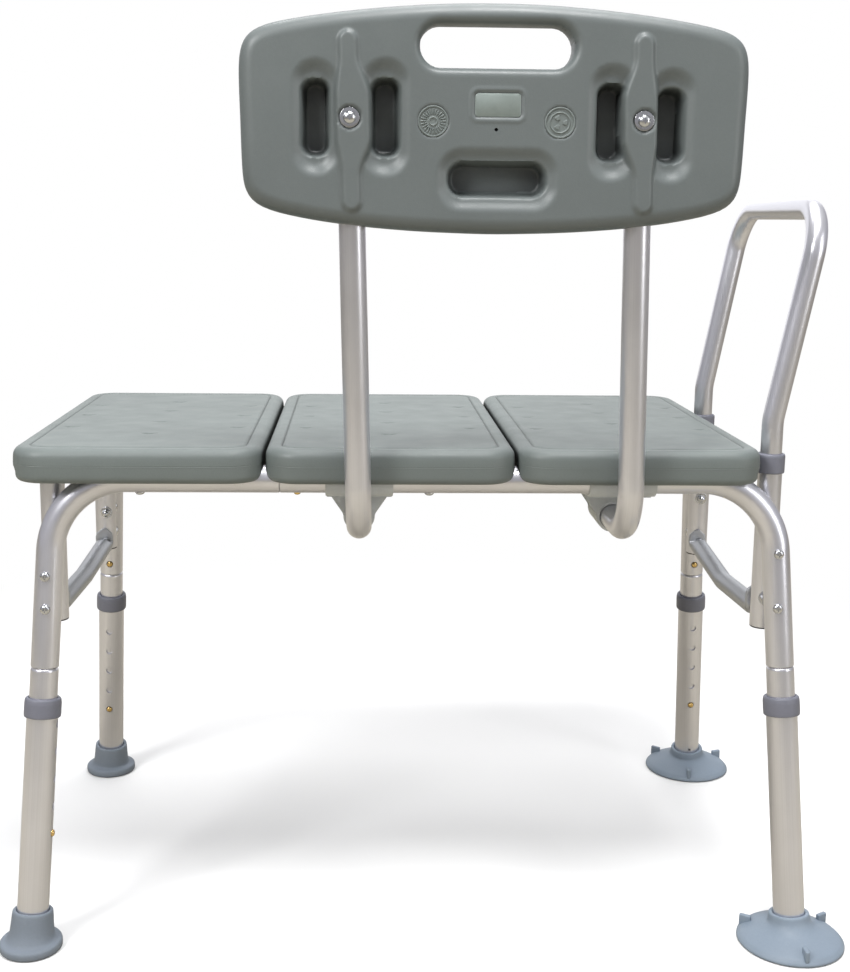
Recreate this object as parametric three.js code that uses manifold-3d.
// Bath transfer bench: a four-legged aluminium seat frame with three plastic seat panels, a plug-in
// backrest, one plug-in side handle, telescopic legs, rubber tips and suction cups.
// Millimetres, +Z up, origin on the floor under the middle of the bench's overall outline, +Y towards
// the bench front, +X towards the end that has the side handle.
import * as THREE from 'three';
import { mergeVertices } from 'three/addons/utils/BufferGeometryUtils.js';
import Module from 'manifold-3d';

const wasm = await Module();
wasm.setup();

// ---------------------------------------------------------------- shared dimensions
const OUTLINE_MID_X = 10.3;      // middle of the overall outline from the mid plane of the four feet
const FOOT_X = 354.4;            // foot contact centre from the mid plane, along the bench
const FOOT_Y = 205;              // foot contact centre from the mid plane, front to back
const SPLAY_X = 0.053;           // leg lean per unit of height, along the bench
const SPLAY_Y = 0.1351;          // leg lean per unit of height, front to back
const AXIS_LENGTH = Math.hypot(SPLAY_X, SPLAY_Y, 1);   // leg length per unit of height
const RAIL_Z = 430;              // axis height of the two long rails
const TUBE_R = 12.7;             // frame tube, 25.4 outside
const SWAGE_R = 10.6;            // reduced tube end that plugs into the next tube
const SWAGE_BORE = 9;
const SEAM_Z = 258.5;            // joint between frame leg and leg tube
const LOCK_Z = 272;              // snap button that locks the leg tube in the frame
const EXTENSION_R = 14.3;        // extension tube, 28.6 outside
const SLIP = 0.3;                // clearance between parts that fit together
const LOOSE = 0.35;              // wider clearance
const HOLE_R = 3.8;              // snap button hole
const SOCKET_Y = 128;            // handle socket axis
const SOCKET_R = 11.2;
const SOCKET_X = { left: 337.5, right: 334 };
const SOCKET_TOP = { left: 424, right: 443 };
// bottom of each socket; its bolts' distance from the mid plane and their two heights
const SOCKETS = {
  rear_left: { bottom: 292.5, boltX: 337, lower: 314.2, upper: 343.8 },
  rear_right: { bottom: 285, boltX: 333.7, lower: 314.9, upper: 365 },
  front_left: { bottom: 298, boltX: 334.5, lower: 311, upper: 340 },
  front_right: { bottom: 293, boltX: 333.4, lower: 311, upper: 358 },
};
const SEAT_BOTTOM_Z = 430;
const TUBE_SIDES = 12;
const BEND_STEPS = 4;

const ENDS = { left: -1, right: 1 };
const ROWS = { rear: -1, front: 1 };
const CORNERS = Object.entries(ROWS).flatMap(([row, ySign]) => (
  Object.entries(ENDS).map(([end, xSign]) => ({ id: `${row}_${end}`, row, end, xSign, ySign }))
));

// ---------------------------------------------------------------- materials and meshes
const MATERIAL = {
  alu: { color: 0xc9cacb, roughness: 0.32, metalness: 0.9 },
  panel: { color: 0x737c77, roughness: 0.55, metalness: 0 },
  collar: { color: 0x65656e, roughness: 0.5, metalness: 0 },
  rubber: { color: 0x6d7780, roughness: 0.75, metalness: 0 },
  cup: { color: 0x7d8a94, roughness: 0.6, metalness: 0 },
  brass: { color: 0xc9a24a, roughness: 0.3, metalness: 0.9 },
  steel: { color: 0xd6d8da, roughness: 0.2, metalness: 1 },
  bracket: { color: 0xb9bdbe, roughness: 0.5, metalness: 0 },
};
const group = new THREE.Group();
const vec = (x, y, z) => new THREE.Vector3(x, y, z);

// Adds a solid as a mesh whose own origin lies at the given point of its parent.
function put(name, shape, material, origin = vec(0, 0, 0), parent = group) {
  const source = shape.getMesh();
  const geometry = new THREE.BufferGeometry();
  const positions = new Float32Array(source.vertProperties);
  geometry.setAttribute('position', new THREE.BufferAttribute(positions, 3));
  geometry.setIndex(new THREE.BufferAttribute(new Uint32Array(source.triVerts), 1));
  geometry.translate(-origin.x, -origin.y, -origin.z);
  geometry.computeVertexNormals();
  const mesh = new THREE.Mesh(geometry, new THREE.MeshStandardMaterial(MATERIAL[material]));
  mesh.name = name;
  mesh.position.copy(origin);
  parent.add(mesh);
}

// ---------------------------------------------------------------- small geometry kit
const moved = (point, direction, distance) => point.clone().addScaledVector(direction, distance);
const radians = (degrees) => (degrees * Math.PI) / 180;

// Welds a geometry into a solid and turns it right side out when its faces point inwards.
function solid(geometry) {
  geometry.deleteAttribute('normal');
  geometry.deleteAttribute('uv');
  const welded = mergeVertices(geometry, 1e-4);
  const index = welded.index.array;
  const triangles = [];
  for (let i = 0; i < index.length; i += 3) {
    const [first, second, third] = index.slice(i, i + 3);
    if (first !== second && second !== third && first !== third) {
      triangles.push([first, second, third]);
    }
  }
  const build = (list) => new wasm.Manifold(new wasm.Mesh({
    numProp: 3,
    vertProperties: new Float32Array(welded.attributes.position.array),
    triVerts: new Uint32Array(list.flat()),
  }));
  const built = build(triangles);
  if (built.volume() > 0) return built;
  return build(triangles.map(([first, second, third]) => [first, third, second]));
}
const join = (...solids) => solids.reduce((sum, part) => sum.add(part));
const cut = (body, ...tools) => tools.reduce((rest, tool) => rest.subtract(tool), body);
const shapeOf = (points) => new THREE.Shape(points.map(([x, y]) => new THREE.Vector2(x, y)));

// Corner radius of a polygon whose flats lie at the given radius.
const overFlats = (radius, sides = TUBE_SIDES) => radius / Math.cos(Math.PI / sides);

// Centreline made of straight runs and circular bends, sampled only where it changes.
class BentLine extends THREE.Curve {
  constructor(points, radii) {
    super();
    const last = points.length - 1;
    const heading = (i) => points[i + 1].clone().sub(points[i]).normalize();
    this.nodes = [{ point: points[0], tangent: heading(0) }];
    for (let i = 1; i < last; i++) {
      const radius = radii[i - 1];
      const before = heading(i - 1);
      const after = heading(i);
      const angle = before.angleTo(after);
      const start = moved(points[i], before, -radius * Math.tan(angle / 2));
      const axis = before.clone().cross(after).normalize();
      const centre = moved(start, axis.clone().cross(before), radius);
      for (let k = 0; k <= BEND_STEPS; k++) {
        const turn = new THREE.Quaternion().setFromAxisAngle(axis, (angle * k) / BEND_STEPS);
        this.nodes.push({
          point: start.clone().sub(centre).applyQuaternion(turn).add(centre),
          tangent: before.clone().applyQuaternion(turn),
        });
      }
    }
    this.nodes.push({ point: points[last], tangent: heading(last - 1) });
  }

  getTangentAt(t) {
    return this.nodes[Math.round(t * (this.nodes.length - 1))].tangent;
  }

  getSpacedPoints() {
    return this.nodes.map((node) => node.point);
  }
}

// Shape swept along straight runs, with one bend radius for each inner point.
function sweep(points, radii, shape) {
  const extrudePath = new BentLine(points, radii);
  const steps = extrudePath.nodes.length - 1;
  return solid(new THREE.ExtrudeGeometry(shape, { steps, extrudePath, bevelEnabled: false }));
}

function bentRod(points, radii, radius) {
  const ring = [];
  for (let i = 0; i < TUBE_SIDES; i++) {
    const angle = ((i + 0.5) / TUBE_SIDES) * Math.PI * 2;
    ring.push([radius * Math.cos(angle), radius * Math.sin(angle)]);
  }
  return sweep(points, radii, shapeOf(ring));
}
const bentBore = (points, radii, radius) => bentRod(points, radii, overFlats(radius));

function rod(from, to, radius, sides = TUBE_SIDES, endRadius = radius) {
  const span = to.clone().sub(from);
  const geometry = new THREE.CylinderGeometry(endRadius, radius, span.length(), sides, 1);
  geometry.rotateY(Math.PI / sides);
  const turn = new THREE.Quaternion().setFromUnitVectors(vec(0, 1, 0), span.normalize());
  geometry.applyQuaternion(turn);
  geometry.translate((from.x + to.x) / 2, (from.y + to.y) / 2, (from.z + to.z) / 2);
  return solid(geometry);
}
const bore = (from, to, radius, sides = TUBE_SIDES) => (
  rod(from, to, overFlats(radius, sides), sides)
);
// stations: [from, to, radius, sides, end radius] along the line given by pointAt
const rodStack = (pointAt, stations) => join(...stations.map(
  ([from, to, ...size]) => rod(pointAt(from), pointAt(to), ...size),
));

// Snap button hole through the wall of a tube, on one side of its centre.
const wallHole = (centre, direction) => (
  bore(moved(centre, direction, 5), moved(centre, direction, 20), HOLE_R, 6)
);

// ranges: [low, high] along X, Y and Z
function box(...ranges) {
  const geometry = new THREE.BoxGeometry(...ranges.map(([low, high]) => high - low));
  geometry.translate(...ranges.map(([low, high]) => (low + high) / 2));
  return solid(geometry);
}

// profile: [radius, height] pairs from the bottom axis point to the top axis point
function lathe(profile, sides) {
  const points = profile.map(([radius, z]) => new THREE.Vector2(radius, z));
  const geometry = new THREE.LatheGeometry(points, sides);
  geometry.rotateX(Math.PI / 2);
  return solid(geometry);
}

const extrude = (points, depth) => (
  new THREE.ExtrudeGeometry(shapeOf(points), { depth, bevelEnabled: false })
);
// Stands a flat geometry up: its Y becomes height, its base comes to frontY and it grows rearwards.
function stand(geometry, frontY) {
  geometry.rotateX(Math.PI / 2);
  geometry.translate(0, frontY, 0);
  return solid(geometry);
}
const standingPrism = (points, rearY, frontY) => stand(extrude(points, frontY - rearY), frontY);

function roundedRect([left, right], [low, high], radius) {
  const steps = 3;
  const corners = [
    [right - radius, low + radius, -90], [right - radius, high - radius, 0],
    [left + radius, high - radius, 90], [left + radius, low + radius, 180],
  ];
  const points = [];
  for (const [x, y, startAngle] of corners) {
    for (let i = 0; i <= steps; i++) {
      const angle = radians(startAngle + (90 * i) / steps);
      points.push([x + radius * Math.cos(angle), y + radius * Math.sin(angle)]);
    }
  }
  return points;
}

// Flat plate with its edges rounded over inside the outline.
function plate(points, bottom, top, edge) {
  const geometry = new THREE.ExtrudeGeometry(shapeOf(points), {
    depth: top - bottom - 2 * edge,
    bevelThickness: edge,
    bevelSize: edge,
    bevelOffset: -edge,
    bevelSegments: 2,
  });
  geometry.translate(0, 0, bottom + edge);
  return geometry;
}

// ---------------------------------------------------------------- snap buttons
const BUTTON_R = 3.3;
const NOSE = 1.6;                // length of the tapered button end
// tip: reach of the button; near, far: reach of the leaf on the button side and the other side
const TUBE_BUTTON = { tip: TUBE_R + 2, near: 7.6, far: 4.9, halfWidth: 2.3 };
const HEIGHT_BUTTON = { tip: EXTENSION_R + 2.2, near: 9.6, far: 6.4, halfWidth: 2.8 };
const BACK_BUTTON = { tip: 17.4, near: 8.4, far: 3, halfWidth: 2.3 };

// Button riveted to a folded leaf spring, placed by the tube centre at the button, the outward
// direction of the button and the direction along the tube.
function snapButton(centre, outward, along, { tip, near, far, halfWidth }) {
  // [outwards, along the tube]
  const leafOutline = [
    [near, 4.2], [near - 0.9, 4.2], [near - 0.9, -1], [0.5, -21],
    [-far + 0.9, -3], [-far + 0.9, 4.2], [-far, 4.2], [-far, -3.4],
    [0, -23.4], [1.2, -22.8], [near, -1.4],
  ];
  const leaf = extrude(leafOutline, 2 * halfWidth);
  leaf.translate(0, 0, -halfWidth);
  const across = outward.clone().cross(along);
  leaf.applyMatrix4(new THREE.Matrix4().makeBasis(outward, along, across).setPosition(centre));
  return join(solid(leaf), rodStack((reach) => moved(centre, outward, reach), [
    [near - 0.5, tip - NOSE, BUTTON_R, 8],
    [tip - NOSE, tip, BUTTON_R, 8, BUTTON_R * 0.55],
  ]));
}

// ---------------------------------------------------------------- legs
const LEG_BORE = 11.2;
const LEG_BOTTOM_Z = 62;
const EXTENSION_BORE = 13.05;
const EXTENSION_START = 12;      // distance along the leg
const EXTENSION_TOP_Z = 225;
const COLLAR = { radius: 16.8, bottom: 213, top: 230.8 };
const HOLE_PITCH = 25.4;         // height steps
const HEIGHT_HOLES = 5;
const HEIGHT_BUTTON_Z = { rear_left: 106, rear_right: 104, front_left: 87.8, front_right: 91.5 };

const legAt = ({ xSign, ySign }, z) => (
  vec(xSign * (FOOT_X - SPLAY_X * z), ySign * (FOOT_Y - SPLAY_Y * z), z)
);
// Unit directions of a leg: up its axis and the two square to it.
function legFrame({ xSign, ySign }) {
  const axis = vec(-xSign * SPLAY_X, -ySign * SPLAY_Y, 1).normalize();
  const acrossX = moved(vec(1, 0, 0), axis, -axis.x).normalize();
  return { axis, acrossX, acrossY: axis.clone().cross(acrossX) };
}

// Everything in a leg group is built in the leg's own frame, Z up the leg from the floor.
function addLeg(corner) {
  const { id, ySign } = corner;
  const { axis, acrossX, acrossY } = legFrame(corner);
  const leg = new THREE.Group();
  leg.position.copy(legAt(corner, 0));
  leg.quaternion.setFromRotationMatrix(new THREE.Matrix4().makeBasis(acrossX, acrossY, axis));
  group.add(leg);
  const putInLeg = (name, shape, material) => put(`${name}_${id}`, shape, material, undefined, leg);

  // point on the axis at a height above the floor, moved along the leg by an extra distance
  const onAxis = (z, extra = 0) => vec(0, 0, z * AXIS_LENGTH + extra);
  const lockDirection = vec(0, -ySign, 0);
  // height holes face the inside of the bench: along X on the rear left leg, along Y on the others
  const holeDirection = id === 'rear_left' ? vec(1, 0, 0) : lockDirection;
  const buttonZ = HEIGHT_BUTTON_Z[id];

  putInLeg('leg_tube', cut(
    join(
      rod(onAxis(LEG_BOTTOM_Z), onAxis(SEAM_Z, -SLIP), TUBE_R),
      rod(onAxis(SEAM_Z, -2), onAxis(SEAM_Z, 44), SWAGE_R),
    ),
    bore(onAxis(LEG_BOTTOM_Z - 5), onAxis(SEAM_Z - 6), LEG_BORE),
    bore(onAxis(SEAM_Z - 8), onAxis(SEAM_Z, 50), SWAGE_BORE),
    wallHole(onAxis(buttonZ), holeDirection),
    wallHole(onAxis(LOCK_Z), lockDirection),
  ), 'alu');

  let extension = cut(
    rod(vec(0, 0, EXTENSION_START), onAxis(EXTENSION_TOP_Z), EXTENSION_R),
    bore(vec(0, 0, EXTENSION_START - 7), onAxis(EXTENSION_TOP_Z + 5), EXTENSION_BORE),
  );
  for (let i = 0; i < HEIGHT_HOLES; i++) {
    const centre = onAxis(buttonZ + (i * HOLE_PITCH) / AXIS_LENGTH);
    extension = cut(extension, wallHole(centre, holeDirection));
  }
  putInLeg('leg_extension', extension, 'alu');

  const { radius } = COLLAR;
  const bottom = onAxis(COLLAR.bottom).z;
  const top = onAxis(COLLAR.top).z;
  const collarProfile = [
    [0, bottom], [radius - 0.8, bottom], [radius, bottom + 1.2],
    [radius, top - 3], [radius - 1.6, top], [0, top],
  ];
  putInLeg('leg_collar', cut(
    lathe(collarProfile, TUBE_SIDES),
    bore(onAxis(COLLAR.bottom - 3), onAxis(EXTENSION_TOP_Z, SLIP), EXTENSION_R + SLIP),
    bore(onAxis(COLLAR.bottom - 3), onAxis(COLLAR.top + 3), TUBE_R + LOOSE),
  ), 'collar');

  const upLeg = vec(0, 0, 1);
  const heightButton = snapButton(onAxis(buttonZ), holeDirection, upLeg, HEIGHT_BUTTON);
  putInLeg('height_button', heightButton, 'brass');
  const lockButton = snapButton(onAxis(LOCK_Z), lockDirection, upLeg, TUBE_BUTTON);
  putInLeg('leg_lock_button', lockButton, 'brass');
}

// ---------------------------------------------------------------- feet
const FOOT_SIDES = 16;
// [radius, height]
const TIP_PROFILE = [[0, 0], [27, 0], [28.4, 1.8], [28.2, 7], [26.5, 9.4], [21, 12], [0, 14]];
const CUP_PROFILE = [[0, 0], [48.6, 0], [49, 3], [45, 8], [35, 12.5], [24, 17], [0, 19]];
const CUP_HOLLOW = [[0, -1], [45.2, -1], [44.7, 0], [29, 4.4], [0, 6.2]];
const TAB = { count: 3, length: 11, width: 4, height: 11, radius: 42.6, z: 9.5 };
const TAB_START = { rear: -76, front: -90 };   // degrees

// Rod from one distance along the leg to another, trimmed off below a height.
function footSleeve(corner, [from, to], [lowRadius, highRadius], trimZ) {
  const foot = legAt(corner, 0);
  const { axis } = legFrame(corner);
  const sleeve = rod(moved(foot, axis, from), moved(foot, axis, to), lowRadius, TUBE_SIDES,
    highRadius);
  const reach = 90;
  return cut(sleeve, box(
    [foot.x - reach, foot.x + reach], [foot.y - reach, foot.y + reach], [-60, trimZ],
  ));
}
function footBore(corner) {
  const foot = legAt(corner, 0);
  const { axis } = legFrame(corner);
  return bore(moved(foot, axis, EXTENSION_START - SLIP), moved(foot, axis, 70), EXTENSION_R + SLIP);
}

function addRubberTip(corner) {
  const foot = legAt(corner, 0);
  const base = lathe(TIP_PROFILE, FOOT_SIDES).translate([foot.x, foot.y, 0]);
  const sleeve = footSleeve(corner, [-2, 35.5], [20.2, 18.2], 0);
  put(`rubber_tip_${corner.row}`, cut(join(base, sleeve), footBore(corner)), 'rubber', foot);
}

function addSuctionFoot(corner) {
  const foot = legAt(corner, 0);
  const cup = cut(lathe(CUP_PROFILE, FOOT_SIDES), lathe(CUP_HOLLOW, FOOT_SIDES));
  let body = join(
    cup.translate([foot.x, foot.y, 0]),
    footSleeve(corner, [3, 27], [19.6, 18.4], 8),
  );
  // release tabs standing on edge at the rim
  for (let i = 0; i < TAB.count; i++) {
    const tab = new THREE.BoxGeometry(TAB.length, TAB.width, TAB.height);
    tab.translate(TAB.radius, 0, TAB.z);
    tab.rotateZ(radians(TAB_START[corner.row] + (360 / TAB.count) * i));
    tab.translate(foot.x, foot.y, 0);
    body = join(body, solid(tab));
  }
  put(`suction_foot_${corner.row}`, cut(body, footBore(corner)), 'cup', foot);
}

// ---------------------------------------------------------------- frame tubes
const TUBE_BORE = 11.1;
const BEND_R = 70;               // centreline radius where a rail turns into a leg
const RAIL_SEAM_X = -126;        // joint between the two halves of a rail
const RAIL_BUTTON_X = -110;
const RAIL_PLUG_END_X = -72;

const railAt = (ySign, x, drop = 0) => (
  vec(x, ySign * (FOOT_Y - SPLAY_Y * RAIL_Z), RAIL_Z - drop)
);

// Hole for the lower or upper socket bolt between two distances from the mid plane.
function boltHole({ id, xSign, ySign }, level, [from, to]) {
  const socket = SOCKETS[id];
  const at = (y) => vec(xSign * socket.boltX, ySign * y, socket[level]);
  return bore(at(from), at(to), 2.85, 6);
}

// Half a rail with the upper part of its leg; the left half has the reduced end.
function addFrameTube(corner) {
  const { id, end, ySign } = corner;
  const top = legAt(corner, RAIL_Z);
  const onRail = (x) => railAt(ySign, x);
  const path = (bottomZ, endX) => [legAt(corner, bottomZ), top, onRail(endX)];
  let tube;
  if (end === 'left') {
    tube = cut(
      join(
        bentRod(path(SEAM_Z, RAIL_SEAM_X), [BEND_R], TUBE_R),
        rod(onRail(RAIL_SEAM_X - 3), onRail(RAIL_PLUG_END_X), SWAGE_R),
      ),
      bentBore(path(SEAM_Z - 12, RAIL_SEAM_X - 6), [BEND_R], TUBE_BORE),
      bore(onRail(RAIL_SEAM_X - 8), onRail(RAIL_PLUG_END_X + 8), SWAGE_BORE),
    );
  } else {
    const stopX = RAIL_SEAM_X + SLIP;
    tube = cut(
      bentRod(path(SEAM_Z, stopX), [BEND_R], TUBE_R),
      bentBore(path(SEAM_Z - 12, stopX - 8), [BEND_R], TUBE_BORE),
    );
  }
  const inward = legFrame(corner).acrossY.multiplyScalar(-ySign);
  tube = cut(
    tube,
    bore(railAt(ySign, RAIL_BUTTON_X, 20), railAt(ySign, RAIL_BUTTON_X, 4), HOLE_R, 6),
    wallHole(legAt(corner, LOCK_Z), inward),
    boltHole(corner, 'lower', [130, 190]),
    boltHole(corner, 'upper', [130, 190]),
  );
  put(`frame_tube_${id}`, tube, 'alu', top);
}

function addRailButton(row) {
  const centre = railAt(ROWS[row], RAIL_BUTTON_X);
  const button = snapButton(centre, vec(0, 0, -1), vec(1, 0, 0), TUBE_BUTTON);
  put(`rail_button_${row}`, button, 'brass');
}

// ---------------------------------------------------------------- end sockets, bolts and braces
const SOCKET_BORE = 10.2;
const SOCKET_FLOOR = 5;          // thickness of the closed bottom
const BOSS = { radius: 7.5, start: SOCKET_Y + 10.5, end: 158 };
const WASHER_GAP = { lower: 4.3, upper: 0.3 };   // socket wall to washer; the lower spans the brace
const BRACE_X = { left: 337.5, right: 331 };
const BRACE_R = 9.4;
const STRIP = { halfThickness: 1.8, halfWidth: 10, topZ: 322, bendZ: 297, midZ: 293.5 };

function addSocket(corner) {
  const { id, end, xSign, ySign } = corner;
  const { bottom, boltX, ...levels } = SOCKETS[id];
  const onAxis = (z) => vec(xSign * SOCKET_X[end], ySign * SOCKET_Y, z);
  const top = SOCKET_TOP[end];
  let socket = cut(
    rod(onAxis(bottom), onAxis(top), SOCKET_R),
    bore(onAxis(bottom + SOCKET_FLOOR), onAxis(top + 5), SOCKET_BORE),
  );
  // bosses that reach to the frame leg
  for (const z of [levels.lower, levels.upper]) {
    const at = (y) => vec(xSign * boltX, ySign * y, z);
    socket = join(socket, cut(
      rod(at(BOSS.start), at(BOSS.end), BOSS.radius, 6),
      bore(legAt(corner, z - 40), legAt(corner, z + 30), TUBE_R + SLIP),
    ));
  }
  socket = cut(
    socket,
    boltHole(corner, 'lower', [108, 165]),
    boltHole(corner, 'upper', [108, 165]),
  );
  // drop boss scraps left beyond the frame leg
  const [body] = socket.decompose().sort((one, other) => other.volume() - one.volume());
  put(`handle_socket_${id}`, body, 'alu', onAxis(bottom));
}

// Pan-head bolt with washer and domed nut.
function addSocketBolt(corner, level) {
  const { id, xSign, ySign } = corner;
  const { boltX, [level]: z } = SOCKETS[id];
  const outer = Math.abs(legAt(corner, z).y) + TUBE_R / Math.cos(Math.atan(SPLAY_Y));
  const inner = SOCKET_Y - SOCKET_R - WASHER_GAP[level];
  const at = (y) => vec(xSign * boltX, ySign * y, z);
  const bolt = rodStack(at, [
    [outer + 1.2, inner - 3, 2.5, 8],
    [outer + 1, outer + 4, 4.6, 10, 3],
    [inner, inner - 1.3, 6.5, 10],
    [inner - 1.2, inner - 5.2, 4.9, 6],
    [inner - 5.1, inner - 8.4, 4.2, 8, 2],
  ]);
  put(`socket_bolt_${level}_${id}`, bolt, 'steel', at(inner));
}

// Strip between the front and rear sockets, turned up at both ends, with a round bar along it.
function addBrace(end) {
  const { halfThickness, halfWidth, topZ, bendZ, midZ } = STRIP;
  const endY = SOCKET_Y - SOCKET_R - SLIP - halfThickness;
  const at = (y, z) => vec(ENDS[end] * BRACE_X[end], y, z);
  const path = [at(endY, topZ), at(endY, bendZ), at(0, midZ), at(-endY, bendZ), at(-endY, topZ)];
  const section = shapeOf([
    [-halfThickness, -halfWidth], [halfThickness, -halfWidth],
    [halfThickness, halfWidth], [-halfThickness, halfWidth],
  ]);
  const bars = [1, -1].map((side) => join(
    rod(at(side * 80, 296), at(-side, 293.7), BRACE_R, 8),
    rod(at(side * 97, 296.5), at(side * 79.9, 296), 3, 8, BRACE_R),
  ));
  const holes = CORNERS.filter((corner) => corner.end === end)
    .map((corner) => boltHole(corner, 'lower', [100, 125]));
  const brace = cut(join(sweep(path, [6, 40, 6], section), ...bars), ...holes);
  put(`side_brace_${end}`, brace, 'alu', at(0, 293.8));
}

// ---------------------------------------------------------------- side handle
const HANDLE_R = 9.9;
const HANDLE_WALL = 1.5;
const HANDLE_BOTTOM = 374;
const HANDLE_LEAN_Z = 484;       // above this the uprights lean outwards
const HANDLE_TOP = { x: 370, y: 131, z: 679 };
const HANDLE_BENDS = [60, 45, 45, 60];
const HANDLE_COLLAR_Z = 434.3;
// [radius, height above the collar bottom]
const HANDLE_COLLAR = [[0, 434.3], [12.8, 434.3], [13.2, 435.2], [13.2, 450.4], [12.2, 452.6],
  [0, 452.6]].map(([radius, z]) => [radius, z]);

function addSideHandle() {
  const { x, y, z } = HANDLE_TOP;
  const foot = (ySign, height) => vec(SOCKET_X.right, ySign * SOCKET_Y, height);
  const path = (bottom) => [
    foot(-1, bottom), foot(-1, HANDLE_LEAN_Z), vec(x, -y, z),
    vec(x, y, z), foot(1, HANDLE_LEAN_Z), foot(1, bottom),
  ];
  const handle = cut(
    bentRod(path(HANDLE_BOTTOM), HANDLE_BENDS, HANDLE_R),
    bentBore(path(HANDLE_BOTTOM - 5), HANDLE_BENDS, HANDLE_R - HANDLE_WALL),
  );
  put('side_handle', handle, 'alu', vec(SOCKET_X.right, 0, HANDLE_BOTTOM));
}

function addHandleCollar(row) {
  const at = (z) => vec(SOCKET_X.right, ROWS[row] * SOCKET_Y, z);
  const collar = cut(
    lathe(HANDLE_COLLAR, TUBE_SIDES).translate(at(0).toArray()),
    bore(at(430), at(SOCKET_TOP.right + SLIP), SOCKET_R + SLIP),
    bore(at(430), at(460), HANDLE_R + SLIP),
  );
  put(`handle_collar_${row}`, collar, 'collar', at(HANDLE_COLLAR_Z));
}

// ---------------------------------------------------------------- seat panels
const SEAT = { rear: -179, front: 225, top: 461.8, gap: 2.4, corner: 30, edge: 7 };
const SEAT_SPLIT = [-366.5, -139.8, 90.8, 316.3];   // ends of the seat and the two gaps between panels

// Room for a rail under the seat, wider and deeper towards both ends.
function railChannel(ySign) {
  const { y } = railAt(ySign, 0);
  const half = TUBE_R + 0.6;
  const endSpan = [y - 17, y + 17];
  return join(
    bore(railAt(ySign, -400), railAt(ySign, 400), TUBE_R + 0.4),
    box([-400, 400], [y - half, y + half], [400, RAIL_Z]),
    box([-400, -258], endSpan, [400, 443.4]),
    box([258, 400], endSpan, [400, 443.4]),
  );
}

function addSeatPanel(place, i) {
  const left = SEAT_SPLIT[i] + (i > 0 ? SEAT.gap / 2 : 0);
  const right = SEAT_SPLIT[i + 1] - (i < 2 ? SEAT.gap / 2 : 0);
  const outline = roundedRect([left, right], [SEAT.rear, SEAT.front], SEAT.corner);
  const blank = solid(plate(outline, SEAT_BOTTOM_Z, SEAT.top, SEAT.edge));
  const origin = vec((left + right) / 2, (SEAT.rear + SEAT.front) / 2, SEAT_BOTTOM_Z);
  put(`seat_panel_${place}`, cut(blank, railChannel(-1), railChannel(1)), 'panel', origin);
}

// ---------------------------------------------------------------- backrest
const BACK_R = 11.5;
const BACK_BORE = 10;
const BACK_BEND_R = 52;
const BACK_LOW_Z = 387;
const BACK_TUBE_X = { left: { bottom: -53, top: -64 }, right: { bottom: 189.5, top: 178.6 } };
const BACK_TUBE = { bottomY: -196, topY: -214, topZ: 812, innerY: -48 };
const RECEIVER_Y = [-110, -58];
const RECEIVER_R = 15;
const BACK_BUTTON_Y = (RECEIVER_Y[0] + RECEIVER_Y[1]) / 2;
const BACK_PANEL = { midX: 57.5, bottom: 654.6, rear: -230, front: -196, edge: 9 };
const BACK_BOLT_Z = 747.5;
const BACK_CUT_Y = [-240, -180]; // spans the panel from behind to in front
// right half of the panel outline: [distance from its middle, height]
const BACK_OUTLINE = [
  [20, 654.6], [120, 660.5], [165.9, 668.4], [192.3, 678.2], [203.5, 690],
  [208.5, 707.5], [209.7, 746.6], [211, 780.8], [209.7, 795.5], [206, 805.2],
  [198.1, 815], [177.9, 824.8], [118.7, 834.6], [30, 842.7],
];
// recesses open to the rear: X range, Z range, corner radius
const BACK_RECESSES = [
  [[-101, -78.6], [715, 785], 8], [[-45.5, -23.1], [715, 785], 8],
  [[143, 166], [712, 783], 8], [[192, 213], [712, 780], 8],
  [[19.6, 102.2], [685, 711], 10],
];

// Point on the leaning upright of a back tube.
function backAt(side, z) {
  const { bottom, top } = BACK_TUBE_X[side];
  const { bottomY, topY, topZ } = BACK_TUBE;
  const share = (z - BACK_LOW_Z) / (topZ - BACK_LOW_Z);
  return vec(bottom + (top - bottom) * share, bottomY + (topY - bottomY) * share, z);
}
const atBackBolt = (side, y) => vec(backAt(side, BACK_BOLT_Z).x, y, BACK_BOLT_Z);
const backBoltHole = (side) => (
  bore(atBackBolt(side, BACK_CUT_Y[0]), atBackBolt(side, BACK_CUT_Y[1]), 2.9, 8)
);

function addBackrestPanel() {
  const { midX, bottom, rear, front, edge } = BACK_PANEL;
  const outline = [
    ...BACK_OUTLINE.map(([x, z]) => [midX + x, z]),
    ...BACK_OUTLINE.slice().reverse().map(([x, z]) => [midX - x, z]),
  ];
  let panel = stand(plate(outline, 0, front - rear, edge), front);
  for (const side of ['left', 'right']) {
    panel = join(panel, rod(backAt(side, 660), backAt(side, 821), 16.6, 14));
  }
  for (const side of ['left', 'right']) {
    const at = (y) => atBackBolt(side, y);
    panel = cut(
      panel,
      bore(backAt(side, 640), backAt(side, BACK_TUBE.topZ + 1.5), BACK_R + LOOSE),
      backBoltHole(side),
      // counterbores for the bolt head and the nut
      rod(at(BACK_CUT_Y[0]), at(-227.2), 9.6),
      rod(at(BACK_CUT_Y[1]), at(-197.4), 9.6),
    );
  }
  // slot right through near the top edge
  panel = cut(panel, standingPrism(roundedRect([-4.9, 122.3], [790.3, 822.2], 15.9), -250, -180));
  for (const recess of BACK_RECESSES) {
    panel = cut(panel, standingPrism(roundedRect(...recess), -250, rear + 16));
  }
  put('backrest_panel', panel, 'panel', vec(midX, rear, bottom));
}

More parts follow.
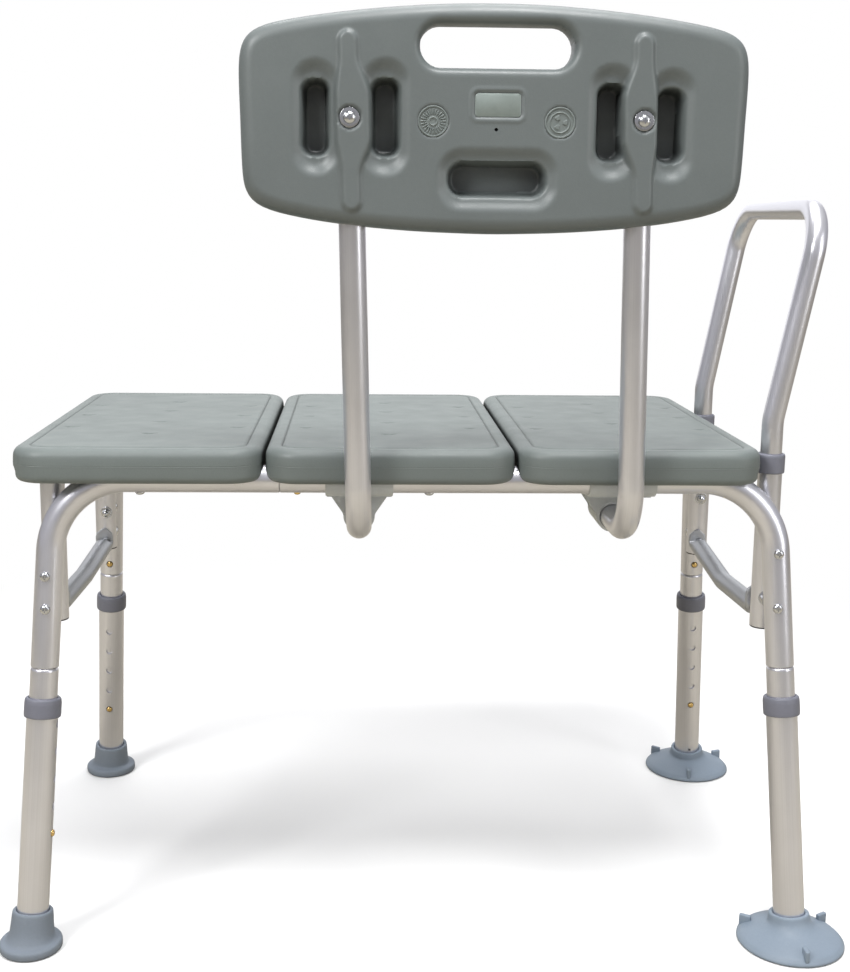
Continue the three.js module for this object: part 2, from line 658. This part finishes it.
function addBackTube(side) {
  const x = BACK_TUBE_X[side].bottom;
  const { bottomY, topZ, innerY } = BACK_TUBE;
  const bend = vec(x, bottomY, BACK_LOW_Z);
  const path = (extra) => [backAt(side, topZ + extra), bend, vec(x, innerY + extra, BACK_LOW_Z)];
  const under = (drop) => vec(x, BACK_BUTTON_Y, BACK_LOW_Z - drop);
  const tube = cut(
    bentRod(path(0), [BACK_BEND_R], BACK_R),
    bentBore(path(6), [BACK_BEND_R], BACK_BORE),
    backBoltHole(side),
    bore(under(16), under(4), HOLE_R, 6),
  );
  put(`back_tube_${side}`, tube, 'alu', bend);
}

// Through screw: pan head and washer at the rear, round nut at the front.
function addBackrestBolt(side) {
  const at = (y) => atBackBolt(side, y);
  const bolt = rodStack(at, [
    [-228, -196, 2.5, 8],
    [-227.6, -228.9, 9, 12],
    [-228.8, -231.4, 5, 10, 3.4],
    [-197, -195, 8, 10, 7.4],
  ]);
  put(`backrest_bolt_${side}`, bolt, 'steel', at(-226));
}

function addBackButton(side) {
  const centre = vec(BACK_TUBE_X[side].bottom, BACK_BUTTON_Y, BACK_LOW_Z);
  const button = snapButton(centre, vec(0, 0, -1), vec(0, -1, 0), BACK_BUTTON);
  put(`back_button_${side}`, button, 'brass');
}

// Round socket hung on webs under a mounting plate, with a saddle that hugs the rear rail.
function addBackReceiver(side) {
  const x = BACK_TUBE_X[side].bottom;
  const [rear, front] = RECEIVER_Y;
  const top = RAIL_Z - TUBE_R - 0.4;
  const saddleTop = SEAT_BOTTOM_Z - SLIP;
  const half = 31;
  const width = [x - half, x + half];
  const at = (y, drop = 0) => vec(x, y, BACK_LOW_Z - drop);
  const webOutline = [
    [-half, top - 1], [-half, top - 4.8], [-14.6, BACK_LOW_Z - 1],
    [14.6, BACK_LOW_Z - 1], [half, top - 4.8], [half, top - 1],
  ].map(([across, z]) => [x + across, z]);
  const receiver = cut(
    join(
      box(width, [-139, front], [top - 5.4, top - 0.6]),
      box(width, [-139, -118], [top - 1, saddleTop]),
      cut(
        rod(railAt(-1, x - half), railAt(-1, x + half), 15.4),
        box([x - 40, x + 40], [-180, -110], [saddleTop, 470]),
      ),
      standingPrism(webOutline, rear, rear + 6),
      standingPrism(webOutline, front - 6, front),
      rod(at(rear), at(front), RECEIVER_R),
      box([x - 2.5, x + 2.5], [rear + 3, front - 3], [BACK_LOW_Z + 12, top - 1]),
    ),
    bore(railAt(-1, x - 40), railAt(-1, x + 40), TUBE_R + SLIP),
    bore(at(-180), at(-30), BACK_R + LOOSE),
    bore(at(BACK_BUTTON_Y, 24), at(BACK_BUTTON_Y, 4), HOLE_R + 0.6, 8),
  );
  put(`back_receiver_${side}`, receiver, 'bracket', at(rear));
}

// ---------------------------------------------------------------- assembly
CORNERS.forEach(addLeg);
for (const corner of CORNERS) {
  if (corner.end === 'left') addRubberTip(corner);
  else addSuctionFoot(corner);
}
for (const row of Object.keys(ROWS)) {
  CORNERS.filter((corner) => corner.row === row).forEach(addFrameTube);
  addRailButton(row);
}
for (const corner of CORNERS) {
  addSocket(corner);
  addSocketBolt(corner, 'lower');
  addSocketBolt(corner, 'upper');
}
Object.keys(ENDS).forEach(addBrace);
addSideHandle();
Object.keys(ROWS).forEach(addHandleCollar);
['left', 'centre', 'right'].forEach(addSeatPanel);
addBackrestPanel();
for (const side of ['left', 'right']) {
  addBackTube(side);
  addBackrestBolt(side);
  addBackButton(side);
  addBackReceiver(side);
}

group.position.x = -OUTLINE_MID_X;

export default group;
